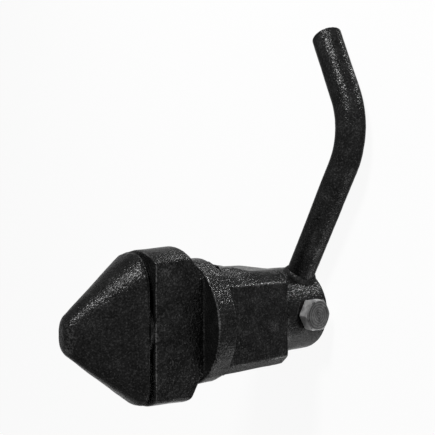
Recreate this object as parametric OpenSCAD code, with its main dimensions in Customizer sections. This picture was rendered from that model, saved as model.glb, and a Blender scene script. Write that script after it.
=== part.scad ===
// Container twistlock
//
// A cast block sits in the bolster of a vehicle or a deck. Its oblong collar fills the aperture
// of a container's corner casting. A forged cone head on a round shaft runs through the block.
// A hub and a bent bar handle, cross-bolted to the end of the shaft, turn the head a quarter turn
// so that it overhangs the collar and holds the container down.
//
// Millimetres. Z is the shaft axis and points towards the head. X is the long way of the collar.
// The origin is on the shaft axis, on the shoulder that bears up against the bolster plate.
// The part is drawn unlocked, with the head in line with the collar.

/* [Collar and flange] */

// Length of the collar along X, across its turned ends
collar_len = 118; // [104:0.5:120]
// Width of the collar along Y, across its flats
collar_w = 58.5; // [54:0.5:62]
// Height of the collar above the shoulder
collar_h = 40.4; // [30:0.1:60]
// Rounding of the collar's top edge
collar_edge = 2; // [0.5:0.25:4]
// Rounding of the four upright corners between ends and flats
collar_corner = 5; // [2:0.5:10]
// How far each end leans in towards the top
collar_taper = 2.5; // [0.5:0.25:5]
// Height of the slope under each end of the collar
ear_rise = 11; // [2:0.5:16]
// Length of the slope under each end of the collar
ear_run = 13; // [8:0.5:16]
// Height of the straight foot below that slope
ear_foot = 2.5; // [2:0.25:4]
// Diameter of the round flange
flange_d = 97; // [90:1:120]
// Thickness of the round flange
flange_h = 16.5; // [8:0.5:20]
// Rounding of the flange's edges
flange_edge = 1.5; // [0.5:0.25:4]

/* [Shank of the block] */

// Width of the square shank, flat to flat
shank_w = 76.5; // [70:1:88]
// Size of the slanted corners of the square shank
shank_corner = 7.5; // [3:0.5:14]
// Distance from the shoulder down to the end of the shank
shank_end = 75.5; // [66:1:110]
// Chamfer around the end of the shank
shank_edge = 1.5; // [0:0.25:4]
// Height of the raised pad over the drag plug
pad_rise = 3.5; // [2:0.5:8]
// Width of the raised pad
pad_w = 42; // [30:1:56]
// Length of the level part of the pad, below the flange
pad_flat = 17; // [12:1:30]
// Length of the pad's ramp
pad_ramp = 15; // [4:1:20]

/* [Cone head and shaft] */

// Air gap between the collar and the head
head_gap = 3.1; // [2:0.1:6]
// Height of the head
head_h = 53.5; // [40:0.5:70]
// Length of the head at its base
head_len = 110.5; // [100:0.5:118]
// Width of the head at its base
head_w = 54; // [50:0.5:60]
// Rounding of the head's two fuller corners
head_corner = 16.5; // [8:0.5:24]
// Length of the blunt tip
tip_len = 30; // [14:0.5:40]
// Width of the blunt tip
tip_w = 24.5; // [10:0.5:30]
// Diameter of the shaft
shaft_d = 38; // [34:0.5:40]
// Width across the two pairs of flats that drive the hub
drive_af = 30; // [27:0.5:33]

/* [Hub] */

// Diameter of the handle hub
hub_d = 73; // [64:1:80]
// Length of the handle hub
hub_len = 47; // [40:1:60]
// Gap between the shank and the hub
hub_gap = 1; // [0.6:0.1:3]
// Distance from the shoulder down to the cross bolt
bolt_z = 103.5; // [98:0.5:112]
// Width across flats of the cross bolt's head and nut
bolt_af = 24; // [22:0.5:27]

/* [Handle] */

// Diameter of the round bar
bar_d = 24; // [18:0.5:26]
// Distance from the shoulder down to the bar's centre line
bar_z = 108; // [104:0.5:114]
// Direction in which the bar leaves the hub, from +X towards -Y
bar_angle = 29; // [0:1:40]
// Distance from the shaft axis to the corner of the bend
bar_reach = 168; // [140:1:200]
// Angle of the bend
bar_bend = 50; // [0.5:0.5:70]
// Centre-line radius of the bend
bar_bend_r = 68; // [40:1:80]
// Distance from the corner of the bend to the bar's end
bar_tail = 89; // [70:0.5:130]
// Chamfer of the bar's end
bar_edge = 1.5; // [0.5:0.25:3]

/* [Hidden] */

$fn = 96;
eps = 0.01;
press = 0.02;          // parts that are pressed or screwed in are drawn this much small
run = 0.05;            // radial clearance of the turning fits
shaft_r = shaft_d / 2;
head_z = collar_h + head_gap;
hub_top = -shank_end - hub_gap;
hub_bot = hub_top - hub_len;

bush_wall = 3;
bush_r = shaft_r + bush_wall;
seal_r = bush_r + 3;   // upper dust seal
seal_h = 5;
felt_r = bush_r + 4;   // lower grease seal
felt_h = 6;
core_r = bush_r + 1.5; // grease space between the bushes
core_top = -6;
core_bot = -52;

stop_z = -44;          // quarter-turn stop
stop_r = 4;
groove_floor = 14.5;
groove_gap = 0.2;
stop_slack = 1.2;      // degrees of freedom beyond each end of the quarter turn

drag_z = -25.5;          // spring-loaded drag on the shaft
drag_r = 6;
plug_r = 8;
plug_seat = 33;
pad_top = shank_w / 2 + pad_rise;

nipple_z = -24;
nipple_r = 4;

thrust_r = 28;         // washer between the head and the collar
washer_r = 29;         // washer between the shank and the hub
washer_recess = 2.5;
flat_y = hub_d / 2 - 1.8; // spot faces for the cross bolt
bolt_r = 8;
bolt_k = 10;

weld_h = 4;
weld_r = bar_d / 2 + 5;

body_col = [0.09, 0.09, 0.095];
forged_col = [0.1, 0.1, 0.105];
zinc_col = [0.62, 0.63, 0.63];
steel_col = [0.45, 0.45, 0.46];
bronze_col = [0.66, 0.45, 0.22];
rubber_col = [0.05, 0.05, 0.05];
brass_col = [0.75, 0.6, 0.3];
nylon_col = [0.15, 0.3, 0.6];

// ---------- helpers ----------

// The section across a slab with both top edges rounded.
module slab_section(w, h, edge) {
    translate([-w / 2, 0]) square([w, h - edge]);
    translate([-w / 2 + edge, 0]) square([w - 2 * edge, h]);
    for (s = [-1, 1]) {
        translate([s * (w / 2 - edge), h - edge]) circle(edge);
    }
}

// A disc from z = 0 upwards, with rounded bottom and top edges.
module rounded_disc(r, h, low, high) {
    rotate_extrude() {
        translate([0, low]) square([r, h - low - high]);
        square([r - max(low, high), h]);
        if (low > 0) {
            intersection() {
                translate([r - low, low]) circle(low);
                square([r, h]);
            }
        }
        if (high > 0) {
            translate([r - high, h - high]) circle(high);
            translate([0, h / 2]) square([r - high, h / 2]);
        }
    }
}

// A plain ring.
module ring(r_out, r_in, h) {
    difference() {
        cylinder(r = r_out, h = h);
        translate([0, 0, -1]) cylinder(r = r_in, h = h + 2);
    }
}

// A hexagon prism whose corners are turned off by a cone at the top.
module hex_prism(af, h) {
    intersection() {
        cylinder(r = af / 2 / cos(30), h = h, $fn = 6);
        union() {
            cylinder(r = af, h = h - 1.2);
            translate([0, 0, h - 1.2]) cylinder(r1 = af / 2 + 1.55, r2 = af / 2 - 0.55, h = 1.2);
        }
    }
}

// The section of the shaft's driving end: a circle with two pairs of flats.
module drive_section(gap) {
    intersection() {
        circle(shaft_r + gap);
        square(drive_af + 2 * gap, center = true);
    }
}

// ---------- cast block ----------

module shank_solid() {
    h = shank_end - flange_h / 2;
    w = shank_w;
    c = shank_edge;
    intersection() {
        translate([0, 0, -shank_end]) linear_extrude(h) shank_section();
        rotate([90, 0, 0]) linear_extrude(w + 2, center = true) shank_profile(w, h, c);
        rotate([90, 0, 90]) linear_extrude(w + 2, center = true) shank_profile(w, h, c);
    }
}

// The shank's side view, chamfered at its lower end.
module shank_profile(w, h, c) {
    polygon([[-w / 2 + c, -shank_end], [w / 2 - c, -shank_end], [w / 2, -shank_end + c],
             [w / 2, -shank_end + h], [-w / 2, -shank_end + h], [-w / 2, -shank_end + c]]);
}

// A square with slanted corners.
module shank_section() {
    a = shank_w / 2;
    b = a - shank_corner;
    polygon([[a, b], [b, a], [-b, a], [-a, b], [-a, -b], [-b, -a], [b, -a], [a, -b]]);
}

// The raised pad on the +X side, with a ramp at its lower end.
module pad_solid() {
    x0 = shank_w / 2 - 4;
    top = -flange_h + 2;
    rotate([90, 0, 0])
        linear_extrude(pad_w, center = true)
            polygon([[x0, top], [pad_top, top], [pad_top, -flange_h - pad_flat],
                     [shank_w / 2, -flange_h - pad_flat - pad_ramp], [x0, -flange_h - pad_flat - pad_ramp]]);
}

module block_bores() {
    translate([0, 0, -shank_end - 1]) cylinder(r = shaft_r + 0.6, h = shank_end + collar_h + 2);
    translate([0, 0, core_top]) cylinder(r = bush_r, h = collar_h - core_top - seal_h + eps);
    translate([0, 0, collar_h - seal_h]) cylinder(r = seal_r, h = seal_h + 1);
    translate([0, 0, core_bot]) cylinder(r = core_r, h = core_top - core_bot);
    translate([0, 0, -shank_end]) cylinder(r = bush_r, h = shank_end + core_bot + eps);
    translate([0, 0, -shank_end - 1]) cylinder(r = felt_r, h = felt_h + 1);
    translate([0, bush_r - 2, stop_z]) rotate([-90, 0, 0]) cylinder(r = stop_r, h = shank_w / 2);
    translate([0, bush_r - 2, nipple_z]) rotate([-90, 0, 0]) cylinder(r = nipple_r, h = shank_w / 2);
    translate([bush_r - 2, 0, drag_z]) rotate([0, 90, 0]) cylinder(r = drag_r, h = shank_w / 2);
    translate([plug_seat, 0, drag_z]) rotate([0, 90, 0]) cylinder(r = plug_r, h = shank_w / 2);
}

// The collar: a turned disc between two flats, with rounded upright corners.
module collar_solid() {
    intersection() {
        rotate_extrude() collar_outline();
        rotate([90, 0, 90])
            linear_extrude(collar_len + 10, center = true)
                translate([0, -3]) slab_section(collar_w, collar_h + 3, collar_edge);
        translate([0, 0, -4]) linear_extrude(collar_h + 5) collar_plan();
    }
}

// Half the turned outline. It overhangs the flange, slopes off underneath and leans in to the top.
module collar_outline() {
    r = collar_len / 2;
    foot = r - ear_run;
    e = collar_edge;
    lean = atan(collar_taper / (collar_h - ear_rise));
    x = r - (e + (collar_h - e - ear_rise) * sin(lean)) / cos(lean);
    polygon([[0, -3], [foot, -3], [foot, ear_foot], [r, ear_rise],
             [x + e * cos(lean), collar_h - e + e * sin(lean)], [x, collar_h - e],
             [x, collar_h], [0, collar_h]]);
    translate([x, collar_h - e]) circle(e);
}

// The plan that rounds the corners. Beyond them it is wider than the turned ends.
module collar_plan() {
    c = collar_corner;
    y = collar_w / 2 + 0.05 - c;
    x = sqrt(pow(collar_len / 2 + 0.3 - c, 2) - y * y);
    square([2 * x, 2 * (y + c)], center = true);
    for (s = [-1, 1]) {
        polygon([[0, 0], [s * 1.5 * x, -1.5 * y], [s * 1.5 * x, 1.5 * y]]);
        for (t = [-1, 1]) {
            translate([s * x, t * y]) circle(c);
        }
    }
}

module block() {
    color(body_col)
    difference() {
        union() {
            collar_solid();
            translate([0, 0, -flange_h]) rounded_disc(flange_d / 2, flange_h, flange_edge, flange_edge);
            shank_solid();
            pad_solid();
        }
        block_bores();
    }
}

// ---------- forged head and shaft ----------

// One level of the head, a disc of radius a between flats at b. Two opposite corners are round all
// over, which clears the inside of the casting as the head turns. The other two are rounded by c.
module head_slice(z, a, b, c) {
    y = b - c;
    x = sqrt(pow(a - c, 2) - y * y);
    translate([0, 0, z]) linear_extrude(eps) {
        for (s = [-1, 1]) {
            translate([s * (a - b), 0]) circle(b, $fn = 64);
            translate([s * x, s * y]) circle(c, $fn = 64);
            intersection() {
                circle(a);
                polygon([[0, 0], [s * 2 * a, 0], [s * 2 * x, s * 2 * y]]);
            }
        }
    }
}

module cone_head() {
    a = head_len / 2;
    b = head_w / 2;
    top = head_z + head_h;
    c = head_corner;
    k = c / b;
    ta = tip_len / 2;
    tb = tip_w / 2;
    hull() {
        head_slice(head_z, a - 1.5, b - 1.2, c - 1);
        head_slice(head_z + 1.2, a, b, c);
        head_slice(head_z + 3.7, a - 1, b - 0.3, c);
        head_slice(head_z + 6.7, a - 3.5, b - 1.2, c);
        head_slice(head_z + 10.2, a - 6.5, b - 2.9, c - 1);
        head_slice(top - 4, ta, tb, k * tb);
        head_slice(top - 1.5, ta - 2.5, tb - 1.8, k * (tb - 1.8));
        head_slice(top - eps, ta - 7.5, tb - 4.8, k * (tb - 4.8));
    }
}

// The quarter-turn groove. The stop pin stands at +Y and the shaft turns clockwise, seen from the
// head, by 90 degrees. The cutter that mills the groove leaves its ends round.
module stop_groove() {
    r = stop_r + groove_gap;
    translate([0, 0, stop_z]) {
        rotate([0, 0, 90 - stop_slack])
            rotate_extrude(angle = 90 + 2 * stop_slack)
                translate([groove_floor, -r]) square([shaft_r, 2 * r]);
        for (a = [90 - stop_slack, 180 + stop_slack]) {
            rotate([0, 0, a]) translate([groove_floor, 0, 0]) rotate([0, 90, 0]) cylinder(r = r, h = shaft_r);
        }
    }
}

module cone_shaft() {
    square_top = hub_top - 3.5;
    color(forged_col)
    difference() {
        union() {
            cone_head();
            translate([0, 0, square_top]) cylinder(r = shaft_r, h = head_z + 2 - square_top);
            intersection() {
                translate([0, 0, hub_bot + 1]) linear_extrude(square_top - hub_bot) drive_section(0);
                translate([0, 0, hub_bot + 1]) cylinder(r1 = shaft_r - 3, r2 = shaft_r + 60, h = 63);
            }
        }
        stop_groove();
        translate([0, 0, -bolt_z]) rotate([90, 0, 0]) cylinder(r = bolt_r + 0.2, h = 60, center = true);
    }
}

// ---------- running fits and seals ----------

module head_washer() {
    color(steel_col)
    translate([0, 0, collar_h + 0.05]) ring(thrust_r, shaft_r + 0.4, head_gap - 0.1);
}

module dust_seal() {
    color(rubber_col)
    translate([0, 0, collar_h - seal_h + 0.05]) ring(seal_r - press, shaft_r + 0.05, seal_h - 0.2);
}

module upper_bush() {
    color(bronze_col)
    translate([0, 0, core_top + 0.5]) ring(bush_r - press, shaft_r + run, collar_h - seal_h - core_top - 0.5);
}

module lower_bush() {
    color(bronze_col)
    translate([0, 0, -shank_end + felt_h]) ring(bush_r - press, shaft_r + run, shank_end - felt_h + core_bot);
}

module felt_seal() {
    color([0.3, 0.28, 0.24])
    translate([0, 0, -shank_end + 0.15]) ring(felt_r - press, shaft_r + 0.05, felt_h - 0.2);
}

module hub_washer() {
    color(steel_col)
    translate([0, 0, hub_top - washer_recess + 0.05])
        ring(washer_r, shaft_r + 0.4, washer_recess + hub_gap - 0.15);
}

// ---------- hub, handle and their fasteners ----------

// Puts the bar's frame in place: its X axis leaves the shaft axis along the first straight.
module along_bar() {
    translate([0, 0, -bar_z]) rotate([0, 0, -bar_angle]) children();
}

module handle_hub() {
    socket = shaft_r + 7;
    color(body_col)
    difference() {
        translate([0, 0, hub_bot]) rounded_disc(hub_d / 2, hub_len, 3, 2);
        translate([0, 0, hub_bot - 1]) linear_extrude(hub_len + 2) drive_section(0.08);
        translate([0, 0, hub_top - washer_recess]) cylinder(r = washer_r + 0.3, h = washer_recess + 1);
        translate([0, 0, hub_top - 3.5 - 0.3]) cylinder(r = shaft_r + 0.4, h = 5);
        translate([0, 0, -bolt_z]) rotate([90, 0, 0]) cylinder(r = bolt_r + 0.2, h = hub_d + 2, center = true);
        for (s = [-1, 1]) {
            translate([0, s * (flat_y + 5), -bolt_z]) rotate([90, 0, 0]) cylinder(r = 15.5, h = 10, center = true);
        }
        along_bar() translate([socket, 0, 0]) rotate([0, 90, 0]) cylinder(r = bar_d / 2 + 0.03, h = hub_d);
    }
}

module handle_bar() {
    cut = bar_bend_r * tan(bar_bend / 2);
    start = shaft_r + 7.1;
    lap = 0.5; // the straights run this far into the bend, which is a hair thicker
    color(forged_col)
    along_bar() {
        translate([start, 0, 0]) rotate([0, 90, 0]) cylinder(d = bar_d, h = bar_reach - cut - start + lap);
        translate([bar_reach - cut, bar_bend_r, 0])
            rotate([0, 0, -90])
                rotate_extrude(angle = bar_bend) translate([bar_bend_r, 0]) circle(d = bar_d + 0.06);
        translate([bar_reach, 0, 0])
            rotate([0, 0, bar_bend])
                translate([cut - lap, 0, 0])
                    rotate([0, 90, 0]) {
                        cylinder(d = bar_d, h = bar_tail - cut - bar_edge + lap);
                        translate([0, 0, bar_tail - cut - bar_edge + lap])
                            cylinder(d1 = bar_d, d2 = bar_d - 2 * bar_edge, h = bar_edge);
                    }
    }
}

module bar_weld() {
    r = hub_d / 2;
    color(body_col)
    difference() {
        along_bar() translate([r - 6, 0, 0]) rotate([0, 90, 0])
            cylinder(r1 = weld_r, r2 = bar_d / 2 + 0.3, h = weld_h + 6);
        translate([0, 0, -bar_z - 40]) cylinder(r = r + 0.02, h = 80);
        along_bar() rotate([0, 90, 0]) cylinder(r = bar_d / 2 + 0.02, h = hub_d);
    }
}

module cross_bolt() {
    color(zinc_col)
    translate([0, -flat_y, -bolt_z])
        rotate([90, 0, 0]) {
            translate([0, 0, 0.02]) cylinder(r = bolt_af / 2 - 0.6, h = 0.5);
            translate([0, 0, 0.5]) rotate([0, 0, 30]) hex_prism(bolt_af, bolt_k - 0.5);
            translate([0, 0, -2 * flat_y - 20]) cylinder(r = bolt_r, h = 2 * flat_y + 20.2);
            translate([0, 0, -2 * flat_y - 21]) cylinder(r1 = bolt_r - 1, r2 = bolt_r, h = 1);
        }
}

module nut_washer() {
    color(zinc_col)
    translate([0, flat_y + 0.03, -bolt_z]) rotate([-90, 0, 0]) ring(15, bolt_r + 0.5, 2.5);
}

module lock_nut() {
    color(zinc_col)
    translate([0, flat_y + 2.56, -bolt_z])
        rotate([-90, 0, 0])
            difference() {
                union() {
                    hex_prism(bolt_af, 12);
                    translate([0, 0, 11]) rounded_disc(11, 4.5, 0, 1);
                }
                translate([0, 0, -1]) cylinder(r = bolt_r + 0.02, h = 20);
                translate([0, 0, 12]) cylinder(r = 9.8, h = 2.7);
            }
}

module nut_insert() {
    color(nylon_col)
    translate([0, flat_y + 2.56, -bolt_z])
        rotate([-90, 0, 0])
            translate([0, 0, 12.05]) ring(9.78, bolt_r + 0.02, 2.6);
}

// ---------- stop, drag and grease ----------

module stop_pin() {
    tip = groove_floor + 0.4;
    color(steel_col)
    translate([0, tip, stop_z])
        rotate([-90, 0, 0]) {
            cylinder(r1 = stop_r - 0.7, r2 = stop_r - press, h = 0.8);
            translate([0, 0, 0.8]) cylinder(r = stop_r - press, h = shank_w / 2 - tip - 1.2);
        }
}

module drag_shoe() {
    color(brass_col)
    difference() {
        translate([shaft_r - 2, 0, drag_z]) rotate([0, 90, 0]) cylinder(r = drag_r - 0.06, h = 11);
        cylinder(r = shaft_r + 0.03, h = 200, center = true);
        translate([shaft_r + 6, 0, drag_z]) rotate([0, 90, 0]) cylinder(r = 2.1, h = 11);
    }
}

module drag_springs() {
    gap = plug_seat + 0.3 - (shaft_r + 9);
    n = 6;
    pitch = (gap - 0.1) / n;
    color(steel_col)
    translate([shaft_r + 9.05, 0, drag_z])
        rotate([0, 90, 0])
            for (i = [0 : n - 1]) {
                translate([0, 0, i * pitch])
                    if (i % 2 == 0) {
                        disc_spring(pitch - 0.04);
                    } else {
                        translate([0, 0, pitch - 0.04]) mirror([0, 0, 1]) disc_spring(pitch - 0.04);
                    }
            }
}

// One conical disc spring: high at its bore, low at its rim.
module disc_spring(h) {
    t = 0.45;
    rotate_extrude()
        polygon([[5, 0], [5, t], [2.5, h], [2.5, h - t]]);
}

module drag_plug() {
    len = pad_top - 0.8 - plug_seat - 0.3;
    color(steel_col)
    translate([plug_seat + 0.3, 0, drag_z])
        rotate([0, 90, 0])
            difference() {
                union() {
                    cylinder(r = plug_r - press, h = len - 0.8);
                    translate([0, 0, len - 0.8]) cylinder(r1 = plug_r - press, r2 = plug_r - 0.8, h = 0.8);
                }
                translate([0, 0, len - 4.5]) cylinder(r = 4 / cos(30), h = 6, $fn = 6);
            }
}

module grease_nipple() {
    face = shank_w / 2;
    color(zinc_col)
    translate([0, face, nipple_z])
        rotate([-90, 0, 0])
            difference() {
                union() {
                    translate([0, 0, -9]) cylinder(r = nipple_r - press, h = 9.2);
                    translate([0, 0, 0.05]) hex_prism(9, 5);
                    translate([0, 0, 5]) cylinder(r = 3, h = 4.2);
                    translate([0, 0, 9]) cylinder(r1 = 2.4, r2 = 2.4, h = 1.6);
                    translate([0, 0, 11.6]) sphere(r = 3.2);
                }
                translate([0, 0, -10]) cylinder(r = 1, h = 30);
            }
}

// ---------- assembly ----------

block();
cone_shaft();
head_washer();
dust_seal();
upper_bush();
lower_bush();
felt_seal();
hub_washer();
handle_hub();
handle_bar();
bar_weld();
cross_bolt();
nut_washer();
lock_nut();
nut_insert();
stop_pin();
drag_shoe();
drag_springs();
drag_plug();
grease_nipple();
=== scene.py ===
# %% [markdown]
# # A container twistlock
#
# A twistlock is the lock that holds a shipping container down. A cast block sits in a bolster, a
# forged cone head stands on a shaft that turns in the block, and a bent bar turns the shaft by a
# quarter turn. The solids of the mechanism come ready made. This notebook gives each visible piece
# the form that casting, forging, welding and turning leave on it, and the finish of each metal.

# %% Load the mechanism and look at its boxes
import math

import bpy
import numpy as np
from mathutils import Matrix, Vector


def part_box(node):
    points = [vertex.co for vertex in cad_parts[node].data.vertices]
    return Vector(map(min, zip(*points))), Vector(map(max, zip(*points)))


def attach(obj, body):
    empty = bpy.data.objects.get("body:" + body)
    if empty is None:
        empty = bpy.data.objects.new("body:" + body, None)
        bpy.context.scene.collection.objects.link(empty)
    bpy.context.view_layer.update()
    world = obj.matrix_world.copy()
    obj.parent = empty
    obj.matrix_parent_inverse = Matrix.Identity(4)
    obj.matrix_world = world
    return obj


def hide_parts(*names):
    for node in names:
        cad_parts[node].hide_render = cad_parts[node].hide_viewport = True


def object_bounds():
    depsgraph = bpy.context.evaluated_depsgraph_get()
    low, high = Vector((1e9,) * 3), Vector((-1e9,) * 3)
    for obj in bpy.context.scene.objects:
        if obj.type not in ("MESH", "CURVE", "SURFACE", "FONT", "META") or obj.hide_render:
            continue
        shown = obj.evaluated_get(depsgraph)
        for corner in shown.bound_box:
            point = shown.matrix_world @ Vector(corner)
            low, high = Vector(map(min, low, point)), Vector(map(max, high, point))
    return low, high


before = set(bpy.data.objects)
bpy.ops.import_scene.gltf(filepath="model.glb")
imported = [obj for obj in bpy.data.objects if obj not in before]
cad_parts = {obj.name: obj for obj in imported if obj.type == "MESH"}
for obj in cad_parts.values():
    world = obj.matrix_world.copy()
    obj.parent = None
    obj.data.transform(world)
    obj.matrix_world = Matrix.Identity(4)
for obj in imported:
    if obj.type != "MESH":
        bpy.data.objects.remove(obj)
cad_low, cad_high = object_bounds()
MM = 0.001


def reach(node):
    """The lowest and highest corner of a solid, in millimetres."""
    low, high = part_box(node)
    return np.array(low) / MM, np.array(high) / MM


block_low, block_high = reach("block")
head_low, head_high = reach("cone_shaft")
hub_low, hub_high = reach("handle_hub")
bolt_low, bolt_high = reach("cross_bolt")
print("block from", block_low.round(1), "to", block_high.round(1))
print("whole object", [round(v, 4) for v in cad_high - cad_low], "m")

# %% [markdown]
# ## Camera
#
# The camera looks down on the lock from one side and is rolled over, so that the long way of the
# collar runs up the picture and the shaft lies across it. A camera's own axes are the columns of its
# matrix: right, up, and backwards.

# %% Place the camera
TILT, PAN, ROLL = (math.radians(v) for v in (35.38, 0.50, -0.16))
CAMERA_AT, LENS, SENSOR = (76.83, -360.78, 223.33), 44.93, 36
ahead = np.array([math.sin(PAN), math.cos(TILT) * math.cos(PAN), -math.sin(TILT) * math.cos(PAN)])
across = np.cross(ahead, [1.0, 0.0, 0.0])
across /= np.linalg.norm(across)
upward = np.cross(across, ahead)
right = across * math.cos(ROLL) + upward * math.sin(ROLL)
up = upward * math.cos(ROLL) - across * math.sin(ROLL)

camera = bpy.data.objects.new("camera", bpy.data.cameras.new("camera"))
bpy.context.scene.collection.objects.link(camera)
turn = Matrix([right, up, -ahead]).transposed().to_4x4()
camera.matrix_world = Matrix.Translation(Vector(CAMERA_AT) * MM) @ turn
camera.data.sensor_width, camera.data.lens = SENSOR, LENS
camera.data.clip_start = 0.01
bpy.context.scene.camera = camera
bpy.context.scene.view_settings.view_transform = "Standard"
print("camera looks along", ahead.round(3))

# %% [markdown]
# ## Helpers for surfaces
#
# Every form here is a grid: rows follow a path, columns go once round it. One helper turns a grid into
# a surface. It joins the last column to the first, closes the ends either with a point or by joining
# the last row to the first, and turns the faces outwards, which it knows from the sign of the volume.

# %% Turn a grid into a closed surface
def grid_faces(rows, columns, loop):
    """Squares between neighbouring rows and columns. The columns always close, the rows only in a loop."""
    row = np.arange(rows if loop else rows - 1)[:, None]
    column = np.arange(columns)[None, :]
    after, beside = (row + 1) % rows, (column + 1) % columns
    corners = [row * columns + column, row * columns + beside,
               after * columns + beside, after * columns + column]
    return np.stack(np.broadcast_arrays(*corners), -1).reshape(-1, 4)


def volume(points, faces):
    """The signed volume: each face is fanned into triangles that span tetrahedra with the origin."""
    a, b, c, d = (points[faces[:, k]] for k in range(4))
    return (np.einsum("ij,ij->", a, np.cross(b, c)) + np.einsum("ij,ij->", a, np.cross(c, d))) / 6


def skin(grid, crown=None, loop=False):
    """Points, faces and crown of a closed surface: scuffed edges, and painted shade in corners. Without a
    loop, each end row shrinks to a point.
    """
    rows, columns, _ = grid.shape
    crown = np.zeros((rows, columns)) if crown is None else crown
    grid = grid.copy()
    if not loop:
        grid[0] = grid[0].mean(0)
        grid[-1] = grid[-1].mean(0)
    points = grid.reshape(-1, 3)
    faces = grid_faces(rows, columns, loop)
    if volume(points, faces) < 0:
        faces = faces[:, ::-1]
    return points, faces, crown.reshape(-1)


print("a tube of 3 rows and 8 columns has", len(grid_faces(3, 8, False)), "faces")


# %% Write a surface as a mesh and hang it on its body
def make(name, surface, finish, body, stands_for):
    """Writes a mesh in metres, merges the points that fell together, and hangs it on its body."""
    points, faces, crown = surface
    mesh = bpy.data.meshes.new(name)
    _, first, inverse = np.unique(np.round(points, 4), axis=0, return_index=True, return_inverse=True)
    faces = inverse.reshape(-1)[faces]
    rings = [list(dict.fromkeys(face)) for face in faces.tolist()]
    mesh.from_pydata((points[first] * MM).tolist(), [], [ring for ring in rings if len(ring) > 2])
    # The crown attribute: scuffed edges where it is positive, painted shade in corners where it is negative.
    crown_data = mesh.attributes.new("crown", "FLOAT", "POINT")
    crown_data.data.foreach_set("value", crown[first].astype(np.float32))
    mesh.shade_smooth()
    mesh.materials.append(finish)
    piece = bpy.data.objects.new(name, mesh)
    bpy.context.scene.collection.objects.link(piece)
    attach(piece, body)
    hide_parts(stands_for)
    print(f"{name}: {len(mesh.vertices)} points, {len(mesh.polygons)} faces")


# %% [markdown]
# A cast, forged or turned form is easiest to give by its corners, because that is how a drawing gives
# it. The next helper rounds them. It works on all directions round the shaft at once: each corner may
# lie at a different radius in each direction, so an oblong collar can run into a round flange.

# %% Round the corners of a path
def rounded_path(outline, loop=False):
    """Rows along a path with rounded corners, where its edges are, and the first row of each corner.

    The outline lists the corners: a place in every direction, the radius, the steps round the corner
    and the steps to the next one. A corner is cut back along both its sides by its radius divided
    by the tangent of half its angle, or less where a side is too short for both its ends. The gap is
    bridged with a circular arc: the quadratic curve whose middle point weighs the sine of half the
    angle. Between two corners the rows crowd towards the ends of the side. The second result is 1 in
    the middle of an outward corner, -1 in an inward one and 0 on a side. The second corner of every
    outline here is an outward one, which gives the sign.
    """
    places, radii, steps, runs = zip(*outline)
    corners = np.asarray(places, float)
    count = len(corners)
    back = np.roll(corners, 1, 0) - corners
    forth = np.roll(corners, -1, 0) - corners
    back_length = np.linalg.norm(back, axis=-1) + 1e-9
    forth_length = np.linalg.norm(forth, axis=-1) + 1e-9
    back /= back_length[..., None]
    forth /= forth_length[..., None]
    half = np.arccos(np.clip((back * forth).sum(-1), -1, 1)) / 2
    turn_sign = np.sign(back[..., 0] * forth[..., 1] - back[..., 1] * forth[..., 0])
    wanted = np.asarray(radii, float)[:, None] / np.maximum(np.tan(half), 1e-6)
    wanted = np.where(half > 1.55, 0.0, wanted)
    if not loop:
        wanted[0] = wanted[-1] = 0
    room = 0.98 * forth_length / np.maximum(wanted + np.roll(wanted, -1, 0), 1e-9)
    cut = wanted * np.minimum(1, np.minimum(room, np.roll(room, 1, 0)))
    rows, crown, starts = [], [], []
    for k in range(count):
        starts.append(len(rows))
        start = corners[k] + back[k] * cut[k][:, None]
        end = corners[k] + forth[k] * cut[k][:, None]
        weight = np.sin(half[k])[:, None]
        for t in np.linspace(0, 1, steps[k] + 1) if steps[k] else [0.5]:
            pull = 2 * weight * t * (1 - t)
            mix = (1 - t) ** 2 + pull + t**2
            rows.append(((1 - t) ** 2 * start + pull * corners[k] + t**2 * end) / mix)
            sharp = np.cos(half[k]) * (cut[k] > 1e-6)
            crown.append(turn_sign[k] * sharp * math.sin(math.pi * t))
        if k < count - 1 or loop:
            after = (k + 1) % count
            goal = corners[after] + back[after] * cut[after][:, None]
            for t in (1 - np.cos(np.pi * np.arange(1, runs[k]) / runs[k])) / 2:
                rows.append(end + (goal - end) * t)
                crown.append(np.zeros(len(end)))
    rows, crown = np.array(rows), np.array(crown)
    if crown[starts[1] : starts[2]].sum() < 0:
        crown = -crown
    return rows, crown, starts


def around(path, angles):
    """Stands a path of (radius, height) pairs round the shaft's axis, one column for each direction."""
    return np.stack([path[..., 0] * np.cos(angles), path[..., 0] * np.sin(angles), path[..., 1]], -1)


def step(low, high, value):
    """Rises smoothly from 0 at low to 1 at high: three squares less two cubes of the share covered."""
    t = np.clip((value - low) / (high - low), 0, 1)
    return t * t * (3 - 2 * t)


print("a soft step from 0 to 1:", step(0, 1, np.linspace(0, 1, 5)).round(2))

# %% [markdown]
# No cast or forged face is flat. A sum of sine waves that run in random directions makes a smooth
# unevenness, and sinking the surface by it keeps every piece inside the size it was drawn to.

# %% Add the unevenness of cast and forged faces
def ripple(points, length, seed, waves=20):
    """Smooth unevenness from about -1 to 1: sine waves of about one length, in random directions, summed."""
    random = np.random.default_rng(seed)
    direction = random.normal(size=(3, waves))
    direction /= np.linalg.norm(direction, axis=0)
    direction *= 2 * np.pi / length * random.uniform(0.7, 1.5, waves)
    phase = random.uniform(0, 2 * np.pi, waves)
    return np.sin(points @ direction + phase).sum(-1) / math.sqrt(waves)


def sink(grid, depth, loop):
    """Moves each point inwards by its own depth, along the cross product of the steps to its neighbours."""
    along = np.roll(grid, -1, 0) - np.roll(grid, 1, 0) if loop else np.gradient(grid, axis=0)
    beside = np.roll(grid, -1, 1) - np.roll(grid, 1, 1)
    normal = np.cross(along, beside)
    normal /= np.linalg.norm(normal, axis=-1, keepdims=True) + 1e-12
    rows, columns, _ = grid.shape
    if volume(grid.reshape(-1, 3), grid_faces(rows, columns, loop)) > 0:
        normal = -normal
    return grid - normal * depth[..., None]


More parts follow.
